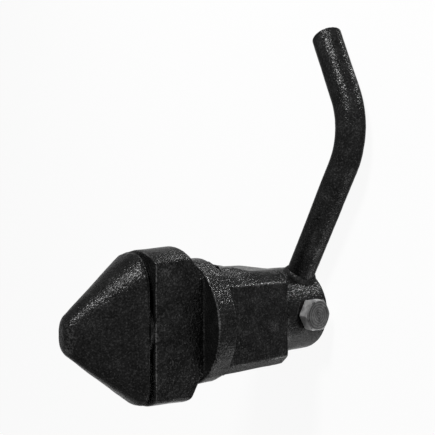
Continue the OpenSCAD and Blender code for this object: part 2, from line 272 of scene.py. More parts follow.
def weathered(grid, rows, broad, broad_length, fine, fine_length, seed, loop=False):
    """Sinks some rows of a grid by two sizes of unevenness, each a depth times one plus a ripple."""
    depth = broad * (1 + ripple(grid, broad_length, seed))
    depth = depth + fine * (1 + ripple(grid, fine_length, seed + 1, waves=30))
    outside = np.zeros(grid.shape[:2])
    outside[rows] = 1
    return sink(grid, np.clip(depth, 0, None) * outside, loop)


# %% [markdown]
# ## Finishes
#
# Shader maths reads best as plain expressions. A small class wraps a socket, so that adding or
# multiplying two of them adds the Math node. Every other node comes from one method of a small graph
# class, which sets a node's own settings first and then its sockets.

# %% Write shader maths as expressions
class Value:
    """A socket that can be used in arithmetic."""

    def __init__(self, graph, socket):
        self.graph, self.socket = graph, socket

    def maths(self, operation, *others):
        node = self.graph.node("ShaderNodeMath", {"operation": operation}, dict(enumerate([self, *others])))
        return self.graph.value(node)

    def __add__(self, other):
        return self.maths("ADD", other)

    __radd__ = __add__

    def __mul__(self, other):
        return self.maths("MULTIPLY", other)

    __rmul__ = __mul__

    def __sub__(self, other):
        return self.maths("SUBTRACT", other)

    def __rsub__(self, other):
        return self * -1 + other

    def between(self, low, high):
        """0 below low, 1 above high, and straight between them."""
        sockets = {"Value": self, "From Min": low, "From Max": high}
        return self.graph.value(self.graph.node("ShaderNodeMapRange", {"clamp": True}, sockets), "Result")


class Graph:
    """The nodes of one material, or of the world."""

    def __init__(self, owner, output="ShaderNodeOutputMaterial"):
        owner.use_nodes = True
        self.owner, self.tree = owner, owner.node_tree
        self.tree.nodes.clear()
        self.output = self.tree.nodes.new(output)
        self.place = self.value(self.node("ShaderNodeTexCoord"), "Object")

    def node(self, kind, settings=None, sockets=None):
        """A node of this kind: its settings are set first, then its sockets get numbers, colours or links."""
        node = self.tree.nodes.new(kind)
        for name, value in (settings or {}).items():
            setattr(node, name, value)
        for name, value in (sockets or {}).items():
            if isinstance(value, Value):
                self.tree.links.new(value.socket, node.inputs[name])
            else:
                node.inputs[name].default_value = value
        return node

    def value(self, node, name=0):
        """One of a node's outputs, ready for arithmetic."""
        return Value(self, node.outputs[name])

    def noise(self, size_mm, detail=3.0, roughness=0.6, distortion=0.0):
        """Cloudy values round 0.5 whose patches are about size_mm across."""
        sockets = {"Vector": self.place, "Scale": 1 / (size_mm * MM), "Detail": detail,
                   "Roughness": roughness, "Distortion": distortion}
        return self.value(self.node("ShaderNodeTexNoise", None, sockets), "Fac")

    def cells(self, size_mm):
        """The distance to the nearest of many scattered points, 0 at a point."""
        sockets = {"Vector": self.place, "Scale": 1 / (size_mm * MM)}
        return self.value(self.node("ShaderNodeTexVoronoi", None, sockets), "Distance")

    def vectors(self, operation, first, second):
        """Two vectors combined one number at a time."""
        return self.value(self.node("ShaderNodeVectorMath", {"operation": operation}, {0: first, 1: second}))

    def crown_value(self):
        """The crown that the surfaces carry: 1 on an outward edge, where paint scuffs off, and -1 in a
        corner, where shade is painted.
        """
        return self.value(self.node("ShaderNodeAttribute", {"attribute_name": "crown"}), "Fac")

    def colours(self, mask, low, high):
        """The colour low where the mask is 0 and high where it is 1. Either may be a link."""
        low, high = (v if isinstance(v, Value) else (*v, 1.0) for v in (low, high))
        return self.value(self.node("ShaderNodeMix", {"data_type": "RGBA"}, {0: mask, 6: low, 7: high}), 2)

    def bump(self, height, depth_mm):
        """Tilts the surface as if it were raised by height times depth_mm."""
        sockets = {"Height": height, "Distance": depth_mm * MM}
        return self.value(self.node("ShaderNodeBump", None, sockets), "Normal")

    def show(self, shader):
        """Sends a finished shader to the output."""
        self.tree.links.new(shader.outputs[0], self.output.inputs[0])
        return self.owner

    def surface(self, **sockets):
        """The finished shader. Names like base_color stand for sockets like Base Color."""
        named = {name.replace("_", " ").title().replace("Ior", "IOR"): value
                 for name, value in sockets.items()}
        return self.show(self.node("ShaderNodeBsdfPrincipled", None, named))


def grey(level):
    """A colour without a hue."""
    return level, level, level


# %% [markdown]
# ### Black iron
#
# The block and hub are sand castings under thin black paint. Sand leaves a grain of about a
# millimetre, with pits and a few shallow swellings. Paint wears thin along edges and stays matt in
# corners, where the colour is also darkened as painted shade. Single grains with a harder skin are
# smoother and more metallic, and their colour is lightened as painted glints. Such a surface shines a
# little like metal, but stays dark where it is seen at a grazing angle, so the shader is part metal
# with a dark edge tint. Forged and drawn bars keep a finer scale: the same recipe with other numbers.

# %% Mix the black finishes
def black_iron(name, grain_mm, depth_mm, dark, light, bare, metallic, roughness):
    """Near-black paint or scale: grain, pits, swellings, glints painted into the colour, scuffed edges, and
    matt corners darkened as painted shade.
    """
    g = Graph(bpy.data.materials.new(name))
    grain = g.noise(grain_mm, 1.0, 0.5)
    fine = g.noise(grain_mm * 0.45, 0.0)
    swell = g.noise(grain_mm * 9, 1.0, 0.4)
    pits = 1 - g.cells(grain_mm * 2.6).between(0.05, 0.30)
    pits = pits * g.noise(grain_mm * 7).between(0.50, 0.66)
    height = grain * 0.6 + fine * 0.10 + swell * 0.5 - pits * 0.25
    crown = g.crown_value()
    rubbed_and_highlit = (crown + (grain - 0.5) * 1.6 + (swell - 0.5) * 1.5).between(0.35, 1.05)
    corner_matt_and_shade = (crown * -1 + (swell - 0.5)).between(0.25, 1.1)
    mottle = (grain * 0.6 + swell * 0.4).between(0.38, 0.66)
    glint = g.noise(grain_mm * 1.1, 1.0, 0.5).between(0.54, 0.70)
    colour = g.colours(rubbed_and_highlit, g.colours(mottle, grey(dark), grey(light)), grey(bare))
    # Painted glints: the colour is lightened at scattered grains, which are also smoother and more metallic.
    colour = g.colours(glint * 0.7, colour, grey(light * 1.9))
    # Painted shade: the colour is darkened in inward corners and hole bottoms, and a little in random
    # patches.
    colour = g.colours(corner_matt_and_shade * 0.7, colour, grey(dark * 0.6))
    return g.surface(base_color=colour, metallic=glint * 0.4 + metallic,
                     specular_ior_level=0.04, specular_tint=(*grey(0.25), 1.0),
                     roughness=roughness + (fine - 0.5) * 0.25 - rubbed_and_highlit * 0.10 - glint * 0.06 + corner_matt_and_shade * 0.15,
                     normal=g.bump(height, depth_mm))


cast_black = black_iron("cast_black", 1.3, 0.8, 0.007, 0.020, 0.100, metallic=0.45, roughness=0.21)
forged_black = black_iron("forged_black", 1.3, 0.7, 0.007, 0.018, 0.070, metallic=0.50, roughness=0.25)
bar_black = black_iron("bar_black", 1.3, 0.8, 0.008, 0.021, 0.080, metallic=0.60, roughness=0.23)
weld_black = black_iron("weld_black", 1.2, 0.4, 0.009, 0.024, 0.060, metallic=0.40, roughness=0.34)
print("black finishes:", [m.name for m in bpy.data.materials if m.name.endswith("_black")])

# %% [markdown]
# ### Bare and plated metals
#
# The cross bolt, nut and washer are dull zinc plate with faint turning rings on the bolt's end. The
# small turned parts are bare steel, and the bushes are bronze. Metal takes its colour from what it
# reflects, so the base colour stays low and the finish comes from roughness and fine marks.

# %% Mix the bare metals
# The last two: where the painted shade on the bolt's end fades out and where it is full, in millimetres from
# the end.
RING_MM, END_SHADE_FADES, END_SHADE_FULL = 2.2, 1.6, 0.9


def dull_metal(name, dark, light, metallic, roughness, mark_mm, centre=None, face=0.0):
    """Metal with cloudy patches and fine scratches.

    With a centre, turning rings run round the Y axis through it: the sine of the distance from that
    axis. The end up to the face's Y value, in millimetres, is painted darker than the flats: painted shade.
    """
    g = Graph(bpy.data.materials.new(name))
    cloud = g.noise(mark_mm * 6, 3.0)
    fine = g.noise(mark_mm, 2.0)
    height = fine * 0.6 + cloud * 0.4
    colour = g.colours((cloud * 0.7 + fine * 0.3).between(0.36, 0.64), dark, light)
    if centre is not None:
        off_axis = g.vectors("MULTIPLY", g.vectors("SUBTRACT", g.place, centre), (1, 0, 1))
        radius = g.value(g.node("ShaderNodeVectorMath", {"operation": "LENGTH"}, {0: off_axis}), "Value")
        rings = (radius * (2 * math.pi / (RING_MM * MM)) + cloud * 9.0).maths("SINE")
        height = height + rings * 0.45
        along = g.value(g.node("ShaderNodeSeparateXYZ", None, {"Vector": g.place}), "Y")
        # Painted shade: the bolt's end face is darkened in colour.
        painted_end_shade = along.between((face + END_SHADE_FADES) * MM, (face + END_SHADE_FULL) * MM)
        shade = (rings * 0.5 + 0.5) * 0.25 + cloud * 0.3
        colour = g.colours(painted_end_shade * (1 - shade * 0.6), colour, [v * 0.03 for v in dark])
    return g.surface(base_color=colour, metallic=metallic, specular_ior_level=0.2,
                     roughness=(cloud - 0.5) * 0.3 + roughness, normal=g.bump(height, mark_mm * 0.16))


bolt_axis = ((bolt_low + bolt_high) / 2 * MM).tolist()
zinc = dull_metal("dull_zinc", (0.21, 0.21, 0.212), grey(0.45), 0.6, 0.38, 0.7, bolt_axis, bolt_low[1])
steel = dull_metal("bare_steel", (0.16, 0.16, 0.165), (0.30, 0.30, 0.305), 0.9, 0.38, 0.6)
black_steel = dull_metal("oiled_steel", (0.030, 0.030, 0.032), (0.065, 0.065, 0.066), 0.6, 0.45, 0.6)
bronze = dull_metal("bush_bronze", (0.30, 0.17, 0.06), (0.48, 0.30, 0.12), 0.9, 0.36, 0.6)
brass = dull_metal("shoe_brass", (0.42, 0.30, 0.10), (0.60, 0.45, 0.18), 0.9, 0.36, 0.6)
print("bolt's axis crosses at", [round(v, 4) for v in bolt_axis], "m")


# %% Mix the seals and the nylon ring
def soft_finish(name, dark, light, roughness, fibre_mm, depth_mm):
    """Rubber, felt or nylon: two close shades mottled at the size of the fibre, and the same bump."""
    g = Graph(bpy.data.materials.new(name))
    fibre = g.noise(fibre_mm, 5.0, 0.7, distortion=0.8)
    patch = g.noise(fibre_mm * 8, 2.0)
    colour = g.colours((fibre * 0.6 + patch * 0.4).between(0.35, 0.65), dark, light)
    return g.surface(base_color=colour, roughness=(fibre - 0.5) * 0.2 + roughness,
                     normal=g.bump(fibre + patch * 0.5, depth_mm))


rubber = soft_finish("seal_rubber", grey(0.010), grey(0.020), 0.75, 0.5, 0.05)
felt = soft_finish("seal_felt", (0.10, 0.09, 0.075), (0.20, 0.18, 0.15), 0.95, 0.35, 0.25)
nylon = soft_finish("nylon", (0.05, 0.12, 0.34), (0.07, 0.16, 0.42), 0.45, 1.0, 0.03)
print("finishes made:", len(bpy.data.materials))

# %% [markdown]
# ## The cast block
#
# One casting holds three forms: an oblong collar that enters the container's corner, a round flange
# that bears on the bolster, and a square shank with slanted corners that guides it. A mould leaves
# fillets where they meet, and the shank's handle side is crowned, so that it leaves the mould easily.
# For every direction round the axis the outline of each form is one radius, so the whole casting is a
# path of corners from the collar's bore, over the top, down the outside and back up the bore.

# %% Choose the directions and write outlines as radii
EVEN_DIRECTIONS, CORNER_DIRECTIONS, CORNER_SPREAD = 336, 18, 4.2
near_corners = [side + np.linspace(-CORNER_SPREAD, CORNER_SPREAD, CORNER_DIRECTIONS)
                for side in (30.2, 149.8, 210.2, 329.8)]
all_round = np.linspace(0, 360, EVEN_DIRECTIONS, endpoint=False)
angles = np.radians(np.sort(np.concatenate([all_round, *near_corners])))


def oblong(half_length, half_width, angle):
    """A slab with round ends. A ray meets the straight side first, or the end circle beyond it."""
    c, s = np.abs(np.cos(angle)), np.abs(np.sin(angle)) + 1e-12
    middle = half_length - half_width
    on_side = half_width / s
    on_end = middle * c + np.sqrt(np.maximum(half_width**2 - (middle * s) ** 2, 0))
    return np.where(on_side * c <= middle, on_side, on_end)


def flatted_disc(disc, half, corner, angle):
    """A disc between two flats, with rounded corners.

    A corner's circle touches the flat straight above its centre, and the disc on the line through both
    centres. Between those two directions a ray meets the corner's circle.
    """
    c, s = np.abs(np.cos(angle)), np.abs(np.sin(angle)) + 1e-12
    y = half - corner
    x = math.sqrt((disc - corner) ** 2 - y**2)
    on_corner = x * c + y * s + np.sqrt(np.maximum(corner**2 - (x * s - y * c) ** 2, 0))
    return np.where(half / s * c <= x, half / s, np.where(s * x < y * c, disc, on_corner))


def soft_least(first, second, soft):
    """The lesser of two radii, blended where they come close: the sum of their inverse powers."""
    return (first**-soft + second**-soft) ** (-1 / soft)


print("directions round the shaft:", len(angles))

# %% Cut the shank's section from planes
SHANK_HALF, SHANK_CORNER, SHANK_SOFT = 38.25, 7.5, 90.0
SLANT_REACH, SLOPE_REACH, SLOPE, EDGE_WIDTH = 67.3, 53.42, 0.556, 0.9


def shank_section(top):
    """The shank's radius in every direction: the least distance to any of its faces along the ray.

    Away from the handle it is a square with slanted corners. On the handle's side the casting is
    crowned: the face at the distance top slopes off to both sides before the wider slants begin. The
    second result marks the long edges, where the two nearest faces are equally far, for scuffing and a
    painted highlight: 1 where the handle's slants meet the sides, 0.6 on the far side, 0.1 on the crown.
    """
    c, s = np.cos(angles), np.abs(np.sin(angles)) + 1e-9
    front, behind = np.maximum(c, 1e-9), np.maximum(-c, 1e-9)
    handle_side = [top / front, SLANT_REACH / (s + front), SLOPE_REACH / (front + SLOPE * s)]
    far_side = [SHANK_HALF / behind, (2 * SHANK_HALF - SHANK_CORNER) / (s + behind)]
    nowhere = 1e4
    faces = [SHANK_HALF / s + 0 * top, *(np.where(c > 0, face, nowhere) for face in handle_side),
             *(np.where(c < 0, face, nowhere) for face in far_side)]
    faces = np.sort(np.stack(np.broadcast_arrays(*faces)), axis=0)
    # Edge weights by side: partly edge wear, partly a painted highlight on the edges beside the side faces.
    rub_and_highlight_weight = np.where(c > 0.7, 0.1, np.where(c < 0, 0.6, 1.0))
    edge = rub_and_highlight_weight * np.exp(-(((faces[1] - faces[0]) / EDGE_WIDTH) ** 2))
    return soft_least(faces[0], faces[1], SHANK_SOFT), edge


shank_radius, _ = shank_section(SHANK_HALF)
print("shank across its slants", round(2 * shank_radius.max(), 1), "mm at most")

# %% Measure the collar and the flange
COLLAR_HALF, COLLAR_CORNER, COLLAR_SOFT, LEAN = 29.25, 5.0, 110.0, 2.5
FLANGE_DEEP, EAR_FOOT, EAR_STEP, EAR_RISE, EAR_LEAST = 16.5, 46.0, 2.5, 11.0, 4.0
collar_end, collar_top = block_high[0], block_high[2]
flange, shank_foot = block_high[1], block_low[2]
collar_plan = flatted_disc(collar_end + 0.3, COLLAR_HALF, COLLAR_CORNER, angles)
collar_radius = soft_least(np.full_like(angles, collar_end), collar_plan, COLLAR_SOFT)
collar_rim = soft_least(np.full_like(angles, collar_end - LEAN), collar_plan, COLLAR_SOFT)
flange_radius = np.maximum(flange, shank_radius + 0.25)
ear_slope = (EAR_RISE - EAR_STEP) / (collar_end - EAR_FOOT)
ear_low = np.maximum(EAR_LEAST, EAR_STEP + ear_slope * (collar_radius - EAR_FOOT))
ear_foot = np.minimum(collar_radius, EAR_FOOT)
print("collar", round(2 * collar_end, 1), "x", 2 * COLLAR_HALF, "mm, flange", round(2 * flange, 1), "mm")


# %% Follow the block's outline in every direction
def level(radius, height, columns=angles):
    """One corner of a path: a radius for every direction, at one height or at a height for each."""
    return np.stack(np.broadcast_arrays(radius, height, columns)[:2], -1)


FELT, BUSH, GREASE, DUST = 26.0, 22.0, 23.5, 25.0
FELT_DEEP, DUST_DEEP, GREASE_FOOT, GREASE_TOP = 6, 5, -52.0, -6.0
block_path, crown, starts = rounded_path([
    (level(DUST, collar_top), 0.6, 3, 14),
    (level(collar_rim, collar_top), 1.4, 7, 22),
    (level(collar_radius, ear_low), 2.5, 6, 7),
    (level(ear_foot, EAR_STEP), 2.5, 3, 2),
    (level(ear_foot, 0.0), 1.2, 4, 9),
    (level(flange_radius, 0.0), 1.7, 6, 12),
    (level(flange_radius, -FLANGE_DEEP), 1.7, 6, 10),
    (level(shank_radius, -FLANGE_DEEP), 2.5, 6, 56),
    (level(shank_radius, shank_foot), 1.6, 6, 12),
    (level(FELT, shank_foot), 0.4, 2, 2),
    (level(FELT, shank_foot + FELT_DEEP), 0.0, 0, 2),
    (level(BUSH, shank_foot + FELT_DEEP), 0.0, 0, 2),
    (level(BUSH, GREASE_FOOT), 0.0, 0, 2),
    (level(GREASE, GREASE_FOOT), 0.0, 0, 2),
    (level(GREASE, GREASE_TOP), 0.0, 0, 2),
    (level(BUSH, GREASE_TOP), 0.0, 0, 2),
    (level(BUSH, collar_top - DUST_DEEP), 0.0, 0, 2),
    (level(DUST, collar_top - DUST_DEEP), 0.0, 0, 2),
], loop=True)
shank_rows, outer_rows = slice(starts[7], starts[8]), starts[9]
block_grid = around(block_path, angles)
print("block grid", block_grid.shape[:2])

# %% [markdown]
# Two things are added to that outline. A raised pad on the handle's side of the shank covers the drag
# plug, slopes off to both sides and runs out in a ramp. The long edges are rubbed bright by the
# bolster, brightest where the handle's slants meet the sides, which is partly a painted highlight.
# Then the whole outside gets the unevenness of the sand.

# %% Raise the pad, mark the long edges and sink the sand's unevenness
PAD_RISE, PAD_LEVEL, PAD_RAMP, PAD_BLEND, FILLET = 3.5, 17.0, 15.0, 2.0, 5.0
z = block_grid[shank_rows][..., 2]
ramp = step(-FLANGE_DEEP - PAD_LEVEL - PAD_RAMP, -FLANGE_DEEP - PAD_LEVEL + PAD_BLEND, z)
raised, edge = shank_section(SHANK_HALF + PAD_RISE * ramp)
block_grid[shank_rows][..., :2] *= (raised / shank_radius)[..., None]
# Bright edges, partly wear and partly painted highlight, strongest where the slants meet the sides.
crown[shank_rows] += 0.9 * edge * step(-FLANGE_DEEP, -FLANGE_DEEP - FILLET, z)
block_grid = weathered(block_grid, slice(2, outer_rows), 0.12, 26, 0.035, 5, seed=1, loop=True)
print("the pad rises", round(float((raised - shank_radius).max()), 1), "mm at most")

# %% [markdown]
# The plug and the stop pin sit in round holes in flat faces. A hole is cut into the grid by hand: the
# squares round it come out, and rings lead from the square rim to a circle, over a small countersink
# and down the wall to a closed bottom.

# %% Cut round holes into flat faces of the grid
def drill(surface, grid_shape, axis, centre, radius, depth):
    """Replaces a rectangle of squares by rings: the rim's points keep their angle and step in to a circle."""
    points, faces, crown = surface
    rows, columns = grid_shape
    u, w = [k for k in range(3) if k != axis]
    grid = points[: rows * columns].reshape(rows, columns, 3)
    near = np.abs(grid[..., [u, w]] - centre[[u, w]]).max(-1) < radius * 1.5
    near &= grid[..., axis] > SHANK_HALF - 3
    near[outer_rows:] = False
    row, column = np.nonzero(near)
    shift = -column.min() if column.max() - column.min() < columns // 2 else columns // 2
    column = (column + shift) % columns
    r0, r1, c0, c1 = row.min(), row.max(), column.min(), column.max()
    square = [(r0, k) for k in range(c0, c1)] + [(k, c1) for k in range(r0, r1)]
    square += [(r1, k) for k in range(c1, c0, -1)] + [(k, c0) for k in range(r1, r0, -1)]
    rim = np.array([i * columns + (j - shift) % columns for i, j in square])
    face_row, face_column = faces // columns, (faces % columns + shift) % columns
    inside = (faces.max(1) < rows * columns) & (face_row.min(1) >= r0) & (face_row.max(1) <= r1)
    inside &= (face_column.min(1) >= c0) & (face_column.max(1) <= c1)
    angle = np.arctan2(points[rim, w] - centre[w], points[rim, u] - centre[u])
    face_at = np.median(points[rim, axis])
    parts, crown_data = [points], [crown]
    wall = radius + 0.02
    # Rim rings get a positive crown for scuffed edges; wall and bottom get -0.5, painted shade inside the
    # hole.
    for ring_radius, down, crown_value in [(radius + 1.6, 0, 0), (radius + 0.5, 0, 0.4), (wall, 0.5, 0.6),
                                    (wall, 1.2, 0), (wall, depth, -0.5), (0.0, depth, -0.5)]:
        ring = np.zeros((len(rim), 3))
        ring[:, u] = centre[u] + ring_radius * np.cos(angle)
        ring[:, w] = centre[w] + ring_radius * np.sin(angle)
        ring[:, axis] = face_at - down
        parts.append(ring)
        crown_data.append(np.full(len(rim), crown_value))
    rings = [rim] + [len(points) + k * len(rim) + np.arange(len(rim)) for k in range(len(parts) - 1)]
    added = np.concatenate([np.stack([outer, np.roll(outer, -1), np.roll(inner, -1), inner], -1)
                            for outer, inner in zip(rings, rings[1:])])
    points = np.concatenate(parts)
    a, b, c = (points[added[0, k]] for k in range(3))
    if np.cross(b - a, c - a)[axis] < 0:
        added = added[:, ::-1]
    return points, np.concatenate([faces[~inside], added]), np.concatenate(crown_data)


# %% Drill the holes and write the block
PLUG_RADIUS, PLUG_DEEP, PIN_RADIUS, PIN_DEEP = 8.0, 8.4, 4.0, 3.0
plug_centre, pin_centre = (np.add(*reach(node)) / 2 for node in ("drag_plug", "stop_pin"))
surface = skin(block_grid, crown, loop=True)
surface = drill(surface, block_grid.shape[:2], 0, plug_centre, PLUG_RADIUS, PLUG_DEEP)
surface = drill(surface, block_grid.shape[:2], 1, pin_centre, PIN_RADIUS, PIN_DEEP)
make("cast_block", surface, cast_black, "block_body", "block")

# %% [markdown]
# ## The forged head and its shaft
#
# The head starts oblong, to pass through the collar's aperture, and runs to a blunt tip, so that it
# finds its own way into a container's corner as the container comes down. Two opposite corners of
# each section are round, so that they clear the inside of the casting as the head turns, and the
# other two are fuller. Shaft, stop groove and driving flats follow in the same path of corners.

# %% Plan the sections of head and shaft
HEAD_LONG, HEAD_WIDE, HEAD_CORNER, HEAD_FOOT, HEAD_SHOULDER = 55.25, 27.0, 16.5, 43.5, 2.9
SHAFT, SHAFT_TIP, DRIVE_HALF, DRIVE_TOP = 19.0, 16, 15.0, -80.0
STOP_TOP, STOP_FOOT, STOP_RADIUS, STOP_FROM, STOP_TO = -39.8, -48.2, 14.5, 76, -166
drive = np.minimum(SHAFT, DRIVE_HALF / np.maximum(np.abs(np.cos(angles)), np.abs(np.sin(angles))))
turned = np.degrees((angles + np.pi) % (2 * np.pi) - np.pi)
groove = np.where((turned > STOP_FROM) | (turned < STOP_TO), STOP_RADIUS, SHAFT - 0.02)


def head_plan(half_length, half_width, corner):
    """Two opposite corners run round as a circle. The other two are fuller, a disc between flats."""
    fuller = np.sin(angles) * np.cos(angles) > 0
    return np.where(fuller, flatted_disc(half_length, half_width, corner, angles),
                    oblong(half_length, half_width, angles))


head_full, head_tip = head_plan(HEAD_LONG, HEAD_WIDE, HEAD_CORNER), head_plan(11.6, 10.9, 6.6)
print("head", 2 * HEAD_LONG, "x", 2 * HEAD_WIDE, "mm, the tip", round(2 * head_tip.max(), 1), "mm long")

# %% Follow the head and shaft from tip to end
tip, shaft_end = head_high[2], head_low[2]
head_path, crown, starts = rounded_path([
    (level(0.0, tip), 0.0, 0, 6),
    (level(head_tip, tip), 9.5, 12, 40),
    (level(head_full, HEAD_FOOT + HEAD_SHOULDER), 6.5, 8, 3),
    (level(head_full, HEAD_FOOT), 1.0, 5, 12),
    (level(SHAFT, HEAD_FOOT), 0.4, 2, 10),
    (level(SHAFT, STOP_TOP), 0.0, 0, 2),
    (level(groove, STOP_TOP), 0.0, 0, 2),
    (level(groove, STOP_FOOT), 0.0, 0, 2),
    (level(SHAFT, STOP_FOOT), 0.0, 0, 4),
    (level(SHAFT, DRIVE_TOP), 0.0, 0, 2),
    (level(drive, DRIVE_TOP), 0.0, 0, 6),
    (level(drive, shaft_end + np.maximum(drive - SHAFT_TIP, 0.2)), 0.3, 2, 2),
    (level(np.minimum(drive, SHAFT_TIP) - 0.15, shaft_end), 0.3, 2, 6),
    (level(0.0, shaft_end), 0.0, 0, 2),
])
head_grid = weathered(around(head_path, angles), slice(1, starts[3]), 0.22, 34, 0.04, 7, seed=3)
make("forged_head_and_shaft", skin(head_grid, crown), forged_black, "turning_body", "cone_shaft")

# %% [markdown]
# ## The handle hub
#
# The hub is a thick cast disc with a square hole for the shaft's flats. Two flats are milled into its
# round side, where the cross bolt's head and nut bear. The milled flat is the plane at a fixed
# distance from the axis, inside a circle round the bolt.

# %% Follow the hub's outline
hub_radius, hub_top, hub_foot = hub_high[1], hub_high[2], hub_low[2]
WASHER_ROOM, WASHER_DEEP, SHAFT_ROOM, SHAFT_DEEP = 29.3, 2.5, 19.4, 3.8
hole = drive + 0.08
hub_path, crown, starts = rounded_path([
    (level(hole, hub_foot), 0.5, 2, 12),
    (level(hub_radius, hub_foot), 3.0, 7, 66),
    (level(hub_radius, hub_top), 2.0, 6, 6),
    (level(WASHER_ROOM, hub_top), 0.3, 2, 2),
    (level(WASHER_ROOM, hub_top - WASHER_DEEP), 0.0, 0, 2),
    (level(SHAFT_ROOM, hub_top - WASHER_DEEP), 0.0, 0, 2),
    (level(SHAFT_ROOM, hub_top - SHAFT_DEEP), 0.0, 0, 2),
    (level(hole, hub_top - SHAFT_DEEP), 0.0, 0, 4),
], loop=True)
hub_grid = weathered(around(hub_path, angles), slice(2, starts[3]), 0.10, 24, 0.03, 5, seed=5, loop=True)
print("hub", round(2 * hub_radius, 1), "mm across and", round(hub_top - hub_foot, 1), "mm long")

# %% Mill the hub's flats
FLAT_AT, FLAT_RADIUS = hub_radius - 1.8, 15.5
bolt_height = (bolt_low[2] + bolt_high[2]) / 2
x, y, z = np.moveaxis(hub_grid.copy(), -1, 0)
off_bolt = np.hypot(x, z - bolt_height)
proud = np.abs(y) > FLAT_AT
milled = (1 - step(FLAT_RADIUS - 0.5, FLAT_RADIUS + 0.2, off_bolt)) * proud
hub_grid[..., 1] = y + (np.sign(y) * FLAT_AT - y) * milled
proud = np.abs(hub_grid[..., 1]) > FLAT_AT
crown += 0.7 * np.exp(-(((off_bolt - FLAT_RADIUS - 0.6) / 0.8) ** 2)) * proud
make("cast_hub", skin(hub_grid, crown, loop=True), cast_black, "turning_body", "handle_hub")

# %% [markdown]
# ## The bar and its weld
#
# The handle is a round bar, bent cold. The bend flattens it a little on the inside of the curve. It
# stands in a socket in the hub, and one weld bead runs round it. A welder lays the bead as a row of
# small overlapping pools, so its crest rises and falls as it goes round.

# %% Lay out the bar's line
BAR, BAR_HEIGHT, LEAVES, BEND, BEND_RADIUS = 12.0, -108.0, math.radians(-29), math.radians(50), 68.0
REACH, TAIL, BAR_START = 168.0, 89.0, 26.1
set_back = BEND_RADIUS * math.tan(BEND / 2)
first, second = REACH - set_back - BAR_START, TAIL - set_back
curve = BEND_RADIUS * BEND
whole = first + curve + second


def bar_line(s):
    """The point and heading at a length s along the bar: a straight, an arc of one radius, a straight."""
    heading = LEAVES + np.clip(s - first, 0, curve) / BEND_RADIUS
    before = BAR_START + np.minimum(s, first)
    px = before * math.cos(LEAVES) + BEND_RADIUS * (np.sin(heading) - math.sin(LEAVES))
    py = before * math.sin(LEAVES) - BEND_RADIUS * (np.cos(heading) - math.cos(LEAVES))
    beyond = np.maximum(s - first - curve, 0)
    along, aside = np.cos(heading), np.sin(heading)
    return np.stack([px + beyond * along, py + beyond * aside, np.full_like(s, BAR_HEIGHT)], -1), heading


print("bar", round(whole, 1), "mm long, the arc", round(curve, 1), "mm of it")

# %% Sweep the bar along its line
BAR_EDGE, EDGE_ROWS, END_RADII, SQUEEZE = 1.5, 8, [9.0, 6.0, 3.0, 0.0], 0.022
end_rows = len(END_RADII)
end_turn = np.linspace(0, 1, EDGE_ROWS)
lengths = np.concatenate([
    np.linspace(0, first, 50), first + np.linspace(0, curve, 45)[1:],
    first + curve + np.linspace(0, second - BAR_EDGE - 0.4, 34)[1:],
    whole - BAR_EDGE * (1 - end_turn) - 0.02, np.full(end_rows, whole - 0.02)])
size = np.full(len(lengths), BAR)
size[-EDGE_ROWS - end_rows : -end_rows] = BAR - BAR_EDGE * (1 - np.sqrt(1 - end_turn**2 * 0.98))
size[-end_rows:] = END_RADII
centre, heading = bar_line(lengths)
spin = np.linspace(0, 2 * np.pi, 96, endpoint=False)
squeezed = np.sin(np.pi * np.clip((lengths - first) / curve, 0, 1)) * SQUEEZE
sideways = np.stack([np.sin(heading), -np.cos(heading), np.zeros_like(heading)], -1)
shaftwise = np.array([0, 0, 1.0])
across_bar = (size * (1 - squeezed))[:, None] * np.cos(spin)
over_bar = size[:, None] * np.sin(spin)
bar_grid = centre[:, None] + across_bar[..., None] * sideways[:, None] + over_bar[..., None] * shaftwise
bar_grid = weathered(bar_grid, slice(-end_rows - 1), 0.07, 30, 0.03, 6, seed=7)
crown = np.zeros(bar_grid.shape[:2])
crown[-EDGE_ROWS - end_rows : 1 - end_rows] = np.sin(np.linspace(0, np.pi, EDGE_ROWS + 1))[:, None]
make("bent_bar", skin(bar_grid, crown), bar_black, "turning_body", "handle_bar")

# %% Lay the weld bead round the bar
LEG_ON_HUB, LEG_ON_BAR, POOLS, BULGE, BEAD_COLUMNS, BEAD_ROWS = 2.6, 3.8, 22, 1.45, 264, 13
turn_round = np.linspace(0, 2 * np.pi, BEAD_COLUMNS, endpoint=False)
share = np.linspace(0, 1, BEAD_ROWS)[:, None]
bulge = (1 - share**BULGE) ** (1 / BULGE)
pool = np.abs(np.sin(turn_round * POOLS / 2 + 0.9 * np.sin(np.pi * share)))
swelling = 1 + 0.13 * (pool - 0.6) + 0.10 * np.sin(3 * turn_round + 1.0)
from_bar = np.vstack([BAR - 0.05 + LEG_ON_HUB * bulge * swelling, np.full(BEAD_COLUMNS, BAR - 0.4)])
up_bar = np.vstack([LEG_ON_BAR * share * swelling - 0.15, np.full(BEAD_COLUMNS, -1.2)])
across_bar, over_bar = from_bar * np.cos(turn_round), from_bar * np.sin(turn_round)
out = np.sqrt(hub_radius**2 - across_bar**2) + up_bar
along = np.array([math.cos(LEAVES), math.sin(LEAVES), 0])
aside = np.array([-math.sin(LEAVES), math.cos(LEAVES), 0])
bead = out[..., None] * along + across_bar[..., None] * aside
bead = bead + over_bar[..., None] * shaftwise + [0, 0, BAR_HEIGHT]
make("weld_bead", skin(bead, loop=True), weld_black, "turning_body", "bar_weld")

# %% [markdown]
# ## The cross bolt, its nut and washer
#
# A hexagon is six planes at one distance from the axis, so its radius in any direction is that distance
# divided by the largest cosine to a plane. A high power of the cosines, summed, rounds the corners as
# forging does. Heads and nuts are turned off by a cone at the top, and the thread is a groove that
# winds round the end.

# %% Write the hexagon, and stand a path across the hub
HEX_HALF, HEX_TURNED, HEX_POWER, BOLT = 12.0, 11.0, 46.0, 8.0
ring = np.linspace(0, 2 * np.pi, 192, endpoint=False)


